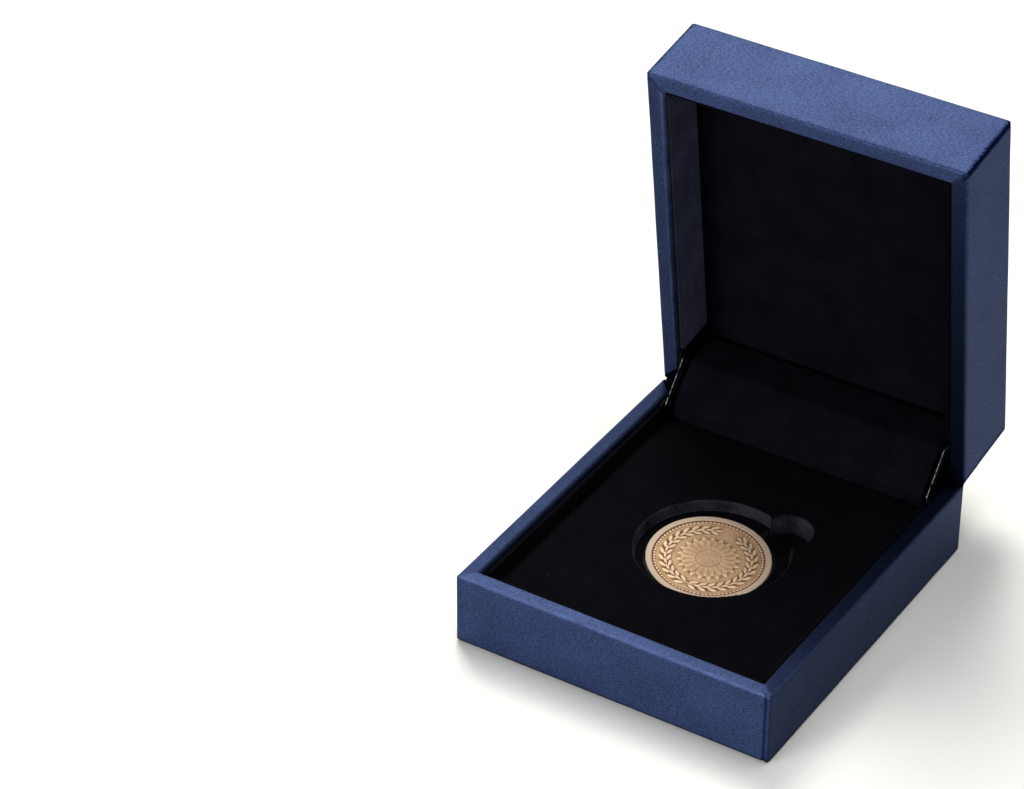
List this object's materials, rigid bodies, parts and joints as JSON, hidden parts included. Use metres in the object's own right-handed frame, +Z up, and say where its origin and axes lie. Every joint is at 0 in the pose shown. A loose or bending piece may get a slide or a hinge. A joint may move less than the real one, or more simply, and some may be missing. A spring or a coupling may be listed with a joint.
{
  "type": "coin display case",
  "caption": "Small hinged display case in blue leatherette, its padded lid standing open, with a velvet insert that holds one bronze coin.",
  "frame": {"origin": "centre of the case's underside, on the surface that it stands on", "axes": "+Z up, +Y from the open front towards the hinged back, +X to the right when seen from the front"},
  "size_m": [0.0738, 0.1035, 0.1028],
  "materials": {
    "leatherette": "blue pearlescent leatherette with a fine brushed grain, satin",
    "velvet": "black short-pile velvet",
    "board": "black faced bookbinding board, matt",
    "paper": "black lining paper, matt",
    "foam": "grey open-cell foam, matt",
    "steel": "sheet steel finished black, satin, bare at its cut edges",
    "rivet": "dark steel, satin",
    "bronze": "warm golden bronze, struck, satin with a brighter rim"
  },
  "bodies": {
    "base": {"base_cover": "leatherette", "base_bottom_paper": "paper", "base_floor_board": "board", "base_wall_front": "board", "base_wall_back": "board", "base_wall_left": "board", "base_wall_right": "board", "base_liner_front": "velvet", "base_liner_left": "velvet", "base_liner_right": "velvet", "insert_velvet": "velvet", "insert_foam": "foam", "base_hinge_bracket": "steel", "base_bracket_pin_left": "rivet", "base_bracket_pin_right": "rivet", "stay_pivot_rivet_left": "rivet", "stay_pivot_rivet_right": "rivet"},
    "lid": {"lid_cover": "leatherette", "lid_wall_front": "board", "lid_wall_back": "board", "lid_wall_left": "board", "lid_wall_right": "board", "lid_top_board": "board", "lid_liner_front": "velvet", "lid_liner_left": "velvet", "lid_liner_right": "velvet", "lid_lining_panel": "velvet", "cushion_cover": "leatherette", "cushion_foam": "foam", "cushion_card": "board", "lid_hinge_bracket": "steel", "lid_bracket_pin_left": "rivet", "lid_bracket_pin_right": "rivet", "stay_guide_rivet_left": "rivet", "stay_guide_rivet_right": "rivet", "hinge_flap": "velvet", "hinge_strip": "leatherette"},
    "left_stay": {"stay_left": "steel"},
    "right_stay": {"stay_right": "steel"},
    "coin_body": {"coin": "bronze"}
  },
  "joints": [
    {"name": "lid_hinge", "type": "hinge", "parent": "base", "child": "lid", "pos_m": [0, 0.0419, 0.0172], "axis": [1, 0, 0], "range_deg": [0, 82], "deforming": ["hinge_flap", "hinge_strip"]},
    {"name": "left_stay_turn", "type": "hinge", "parent": "base", "child": "left_stay", "pos_m": [-0.0317, 0.03552, 0.01602], "axis": [1, 0, 0], "range_deg": [0, 41]},
    {"name": "right_stay_turn", "type": "hinge", "parent": "base", "child": "right_stay", "pos_m": [0.0317, 0.03552, 0.01602], "axis": [1, 0, 0], "range_deg": [0, 41]},
    {"name": "coin_lift", "type": "slide", "parent": "base", "child": "coin_body", "axis": [0, 0, 1], "range_m": [0, 0.032]}
  ],
  "couplings": [
    {"joint": "left_stay_turn", "follows": "lid_hinge", "ratio": 0.5},
    {"joint": "right_stay_turn", "follows": "lid_hinge", "ratio": 0.5}
  ]
}
